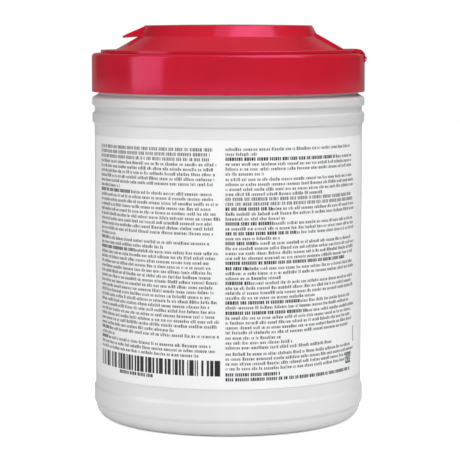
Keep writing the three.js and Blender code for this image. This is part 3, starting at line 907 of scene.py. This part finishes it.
def make_lid():
    """The snap-fit lid with its slit nozzle, the strap's bed and the lower half of the hinge."""
    inner_skirt = LID_RADIUS - 1.4
    inner_upper = LID_RADIUS - 2.1
    underside = DECK - DECK_THICKNESS
    lip_stop = underside - 3.5
    plug_outside = NECK_RADIUS - SHELL_WALL - 0.5
    plug_inside = plug_outside - 0.9
    plug_foot = lip_stop - 3.8
    bead_radius = NECK_RADIUS + 0.7
    well_underside = WELL_FLOOR - DECK_THICKNESS
    well_foot = WELL_RADIUS - 2.6
    first = (inner_skirt, LID_FOOT)
    outline = [first] + rounded([
        (LID_RADIUS - 0.5, LID_FOOT, 0),
        (LID_RADIUS, LID_FOOT, 0.4),
        (LID_RADIUS, DECK, 1.8),
        (WELL_RADIUS, DECK, 0.7),
        (well_foot, WELL_FLOOR, 0.8),
        (NOZZLE_FOOT_RADIUS, WELL_FLOOR, 0.8),
        (NOZZLE_RADIUS, NOZZLE_TOP, 0.9),
        (ORIFICE_RADIUS, NOZZLE_TOP, 0.25),
        (ORIFICE_RADIUS, NOZZLE_TOP - NOZZLE_WALL, 0.2),
        (NOZZLE_RADIUS - NOZZLE_WALL, NOZZLE_TOP - NOZZLE_WALL, 0.5),
        (NOZZLE_FOOT_RADIUS - NOZZLE_WALL, well_underside, 0.8),
        (well_foot + 0.8, well_underside, 0.8),
        (WELL_RADIUS + 0.8, underside, 0.8),
        (plug_inside, underside, 0.4),
        (plug_inside, plug_foot, 0.2),
        (plug_outside - 0.3, plug_foot, 0.1),
        (plug_outside, plug_foot + 0.6, 0.3),
        (plug_outside, lip_stop, 0.2),
        (inner_upper, lip_stop, 0.3),
        (inner_upper, LID_FOOT + 5.3, 0.4),
        (inner_skirt, LID_FOOT + 4.6, 0.4),
        (inner_skirt, LID_FOOT + 2.8, 0.4),
        (bead_radius, LID_FOOT + 2.1, 0.2),
        (bead_radius, LID_FOOT + 1.4, 0.2),
        (inner_skirt, LID_FOOT + 0.7, 0),
    ])
    lid = turned("lid_shell", outline)

    # The star of slits round the orifice
    slits = []
    for i in range(SLIT_COUNT):
        low = (ORIFICE_RADIUS - 1.2, -SLIT_WIDTH / 2, NOZZLE_TOP - 2 * NOZZLE_WALL)
        high = (SLIT_REACH, SLIT_WIDTH / 2, NOZZLE_TOP + NOZZLE_WALL)
        slit = box_piece("slit", low, high)
        slit.rotation_euler.z = 2 * math.pi * (i + 0.5) / SLIT_COUNT
        place_in_mesh(slit)
        slits.append(slit)
    pick(*slits)
    bpy.ops.object.join()
    cut_or_join(lid, slits[0], "DIFFERENCE")

    # The bed that the hinge strap lies in, and the lower half of the hinge
    seat_radius = STRAP_BEND_RADIUS - STRAP_THICKNESS - FILM_GAP
    stations = strap_bend(seat_radius, seat_radius + 5, STRAP_FACE - STRAP_BEND_RADIUS - 0.5)
    stations.append((stations[-1][0], HINGE_HEIGHT, -90))
    bed = swept("strap_bed", (STRAP_WIDTH + 0.8, 5), stations)
    cut_or_join(lid, bed, "DIFFERENCE")
    nub_top = HINGE_HEIGHT - FILM_GAP / 2
    root = LID_RADIUS - 1.2
    low = (root, -STRAP_WIDTH / 2, nub_top - HINGE_NUB_HEIGHT)
    nub = box_piece("lower_nub", low, (HINGE_NUB_FACE, STRAP_WIDTH / 2, nub_top))
    lift = HINGE_NUB_HEIGHT - HINGE_NUB_EDGE
    move_vertices(nub, lambda place: place.x > LID_RADIUS and place.z < nub_top - 1, (0, 0, lift))
    cut_or_join(lid, nub, "UNION")
    smooth(lid)
    finish_piece(lid, closure_finish, "closure", "closure", "lid")


# Flip cap
def make_flip_cap():
    """The flip cap with its thumb tab, its hinge strap and the upper half of the hinge."""
    slope = math.atan2(HOOD_STEP - CAP_PLATE, HOOD_FOOT_RADIUS - HOOD_STEP_RADIUS)
    inner_top = HOOD_TOP - CAP_WALL
    inner_step = HOOD_STEP - CAP_WALL
    inner_step_radius = HOOD_STEP_RADIUS - 0.5
    inner_foot_radius = inner_step_radius + (inner_step - CAP_FOOT) / math.tan(slope)
    ring_foot = NOZZLE_TOP - 1.8
    ring_inside = SEAL_RING_RADIUS
    ring_outside = ring_inside + 1
    outline = rounded([
        (0, cap_high.z, 0),
        (HOOD_TOP_RADIUS * 0.5, HOOD_TOP + 0.3, 30),
        (HOOD_TOP_RADIUS, HOOD_TOP, 0.8),
        (HOOD_STEP_RADIUS, HOOD_STEP, 0.8),
        (HOOD_FOOT_RADIUS, CAP_PLATE, 1.2),
        (CAP_RADIUS, CAP_PLATE, 0.45),
        (CAP_RADIUS, CAP_FOOT, 0.12),
        (inner_foot_radius, CAP_FOOT, 0.4),
        (inner_step_radius, inner_step, 0.5),
        (HOOD_TOP_RADIUS - 1.95, inner_top, 0.6),
        (ring_outside, inner_top + 0.2, 0.4),
        (ring_outside, ring_foot, 0.25),
        (ring_inside, ring_foot, 0.25),
        (ring_inside, inner_top + 0.4, 0.4),
        (0, inner_top + 0.4, 0),
    ])
    cap = turned("flip_cap_shell", outline)

    # Thumb tab: a plan drawn flat, dropped towards its tip, thickened and cut straight under
    root_x = -HOOD_TOP_RADIUS + 1.1
    tip_x = -HOOD_TOP_RADIUS - TAB_REACH
    deselect()
    middle = ((root_x + tip_x) / 2 * MM, 0, HOOD_TOP * MM)
    bpy.ops.mesh.primitive_plane_add(size=MM, location=middle)
    tab = bpy.context.object
    tab.name = "thumb_tab"
    tab.scale = (root_x - tip_x, TAB_ROOT_WIDTH, 1)
    place_in_mesh(tab)
    edit_vertices(tab, lambda vertex: vertex.co.x < middle[0])
    tip = (tip_x * MM, 0, HOOD_TOP * MM)
    bpy.ops.transform.resize(value=(1, TAB_TIP_WIDTH / TAB_ROOT_WIDTH, 1), center_override=tip)
    bpy.ops.transform.translate(value=(0, 0, -TAB_DROP * MM))
    bpy.ops.mesh.bevel(offset=2.5 * MM, segments=6, affect="VERTICES")
    bpy.ops.mesh.select_all(action="SELECT")
    bpy.ops.mesh.extrude_region_move(TRANSFORM_OT_translate={"value": (0, 0, -TAB_ROOT_DEPTH * MM)})
    bpy.ops.mesh.select_all(action="SELECT")
    under_root = (root_x * MM, 0, (HOOD_TOP - TAB_ROOT_DEPTH) * MM)
    rise = TAB_DROP + TAB_TIP_THICKNESS - TAB_ROOT_DEPTH
    length = math.hypot(rise, root_x - tip_x)
    down = (rise / length, 0, (tip_x - root_x) / length)
    bpy.ops.mesh.bisect(plane_co=under_root, plane_no=down, use_fill=True, clear_outer=True)
    bpy.ops.object.mode_set(mode="OBJECT")
    round_edges(tab, 0.3, 40)
    cut_or_join(cap, tab, "UNION")

    # Hinge strap: a rib down the hood's slope, a strap over the lid's corner, and the upper half of the hinge
    outer_x = HOOD_STEP_RADIUS + STRAP_RIB_RISE * math.sin(slope)
    outer_z = HOOD_STEP + STRAP_RIB_RISE * math.cos(slope)
    half = STRAP_THICKNESS / 2
    rib_half = 0.8
    back = 2.9
    heading = -math.degrees(slope)
    start_x = outer_x - back * math.cos(slope) - rib_half * math.sin(slope)
    start_z = outer_z + back * math.sin(slope) - rib_half * math.cos(slope)
    foot_x = outer_x + (outer_z - STRAP_TOP) / math.tan(slope)
    stations = [(start_x, start_z, heading), (foot_x - 0.3, STRAP_TOP - rib_half + 0.1, heading / 2)]
    stations.append((foot_x + 0.6, STRAP_TOP - rib_half, 0))
    rib = swept("hinge_rib", (STRAP_WIDTH, 2 * rib_half), stations)
    round_edges(rib, 0.25, 50)
    cut_or_join(cap, rib, "UNION")
    inner = STRAP_BEND_RADIUS - STRAP_THICKNESS
    stations = strap_bend(inner, STRAP_BEND_RADIUS, foot_x)
    strap_foot = HINGE_HEIGHT + FILM_GAP / 2
    stations.append((STRAP_FACE - half, strap_foot, -90))
    strap = swept("hinge_strap", (STRAP_WIDTH, STRAP_THICKNESS), stations)
    round_edges(strap, 0.2, 50)
    cut_or_join(cap, strap, "UNION")
    root_low = (CAP_RADIUS - 1, -STRAP_WIDTH / 2, CAP_FOOT + 0.05)
    root_high = (STRAP_FACE - 1.85, STRAP_WIDTH / 2, STRAP_TOP - 0.3)
    cut_or_join(cap, box_piece("strap_root", root_low, root_high), "UNION")
    bend_end = STRAP_TOP - STRAP_BEND_RADIUS
    low = (STRAP_FACE - 0.5, -STRAP_WIDTH / 2, strap_foot)
    nub = box_piece("upper_nub", low, (HINGE_NUB_FACE, STRAP_WIDTH / 2, bend_end))
    drop = bend_end - strap_foot - HINGE_NUB_EDGE
    move_vertices(nub, lambda place: place.x > STRAP_FACE and place.z > strap_foot + 1, (0, 0, -drop))
    cut_or_join(cap, nub, "UNION")
    smooth(cap)
    finish_piece(cap, closure_finish, "flap", "closure", "flip_cap")


make_bottle()
make_film("back_label_film", "back_label", False)
make_film("front_label_film", "front_label", True)
make_back_print()
make_front_print()
make_roll()
make_tail()
make_lid()
make_flip_cap()


# Floor, light and camera
SHADOW_INNER = 0.056
SHADOW_OUTER = 0.08
SHADOW_GLOW = 0.68
ROOM_LIGHT = 0.34
DARK_SIDES = 0.06
SIDES_EDGE = (0.45, 0.9)
REFLECTED_ROOM = 0.05
PALE_WALL = 0.22
WALL_EDGE = (0.8, 0.88)
PALE_CEILING = 0.2
CEILING_EDGE = (0.6, 0.8)
CAMERA_PLACE = (0.0008, -0.9975, 0.1835)
CAMERA_PITCH = 5.45
CAMERA_LENS = 165.7


def make_floor():
    """A pale floor that the camera sees as white, apart from the contact shadow round the bottle's foot."""
    deselect()
    bpy.ops.mesh.primitive_plane_add(size=6, location=(0, 0, 0))
    floor = bpy.context.object
    floor.name = "floor"
    material, nodes, links, shader = new_material("white_floor")
    shader.inputs["Base Color"].default_value = (0.76, 0.76, 0.765, 1)
    shader.inputs["Roughness"].default_value = 0.9
    shader.inputs["Specular IOR Level"].default_value = 0.0
    shader.inputs["Emission Color"].default_value = (1, 1, 1, 1)
    place = nodes.new("ShaderNodeTexCoord")
    reach = nodes.new("ShaderNodeVectorMath")
    reach.operation = "LENGTH"
    links.new(place.outputs["Object"], reach.inputs[0])
    white = fade(nodes, links, reach.outputs["Value"], SHADOW_INNER, SHADOW_OUTER, SHADOW_GLOW, 1)
    path = nodes.new("ShaderNodeLightPath")
    glow = arithmetic(nodes, links, "MULTIPLY", path.outputs["Is Camera Ray"], white)
    links.new(glow, shader.inputs["Emission Strength"])
    floor.data.materials.append(material)


def make_softbox(name, azimuth, elevation, distance, width, height, power, mirrored=True):
    """A light that faces the canister, its azimuth counted from the camera's side to the right."""
    turn = math.radians(azimuth)
    rise = math.radians(elevation)
    place = (
        distance * math.cos(rise) * math.sin(turn),
        -distance * math.cos(rise) * math.cos(turn),
        distance * math.sin(rise) + 0.1,
    )
    deselect()
    facing = (math.pi / 2 - rise, 0, turn)
    bpy.ops.object.light_add(type="AREA", location=place, rotation=facing)
    lamp = bpy.context.object
    lamp.name = name
    lamp.data.shape = "RECTANGLE"
    lamp.data.size = width
    lamp.data.size_y = height
    lamp.data.energy = power
    lamp.visible_glossy = mirrored


def make_surroundings():
    """White to the camera, grey with dark sides as light, and dark with a pale wall and ceiling mirrored."""
    world = bpy.data.worlds.new("studio")
    bpy.context.scene.world = world
    world.use_nodes = True
    nodes = world.node_tree.nodes
    links = world.node_tree.links
    nodes.clear()
    output = nodes.new("ShaderNodeOutputWorld")
    path = nodes.new("ShaderNodeLightPath")
    direction = nodes.new("ShaderNodeTexCoord")
    axes = nodes.new("ShaderNodeSeparateXYZ")
    links.new(direction.outputs["Generated"], axes.inputs["Vector"])
    wall = fade(nodes, links, axes.outputs["Y"], *WALL_EDGE, REFLECTED_ROOM, PALE_WALL)
    ceiling = fade(nodes, links, axes.outputs["Z"], *CEILING_EDGE, REFLECTED_ROOM, PALE_CEILING)
    seen = arithmetic(nodes, links, "MAXIMUM", wall, ceiling)
    sideways = arithmetic(nodes, links, "ABSOLUTE", axes.outputs["X"])
    falling = fade(nodes, links, sideways, *SIDES_EDGE, ROOM_LIGHT, DARK_SIDES)
    surface = None
    for ray, strength in (("Is Diffuse Ray", falling), ("Is Glossy Ray", seen), ("Is Camera Ray", 1)):
        shade = nodes.new("ShaderNodeBackground")
        shade.inputs["Color"].default_value = (1, 1, 1, 1)
        if strength in (falling, seen):
            links.new(strength, shade.inputs["Strength"])
        else:
            shade.inputs["Strength"].default_value = strength
        if surface:
            mix = nodes.new("ShaderNodeMixShader")
            links.new(path.outputs[ray], mix.inputs["Fac"])
            links.new(surface, mix.inputs[1])
            links.new(shade.outputs["Background"], mix.inputs[2])
            surface = mix.outputs["Shader"]
        else:
            surface = shade.outputs["Background"]
    links.new(surface, output.inputs["Surface"])


def make_camera():
    """The camera at the photo's place, looking a little down."""
    deselect()
    tilt = (math.radians(90 - CAMERA_PITCH), 0, 0)
    bpy.ops.object.camera_add(location=CAMERA_PLACE, rotation=tilt)
    camera = bpy.context.object
    camera.data.lens = CAMERA_LENS
    camera.data.sensor_width = 36
    camera.data.clip_start = 0.05
    bpy.context.scene.camera = camera


make_floor()
make_surroundings()
# Name, azimuth and elevation in degrees, distance, width and height in metres, and power in watts
make_softbox("left_softbox", -70, 18, 1.0, 0.56, 0.8, 3.2)
make_softbox("overhead_softbox", 44, 45, 1.3, 1.1, 1.1, 9.9)
make_softbox("high_fill", 58, 72, 1.3, 1.6, 0.7, 4.6)
make_softbox("frontal_fill", -4, 20, 1.6, 1.5, 1.5, 5.7, mirrored=False)
make_camera()

scene = bpy.context.scene
scene.view_settings.view_transform = "Standard"
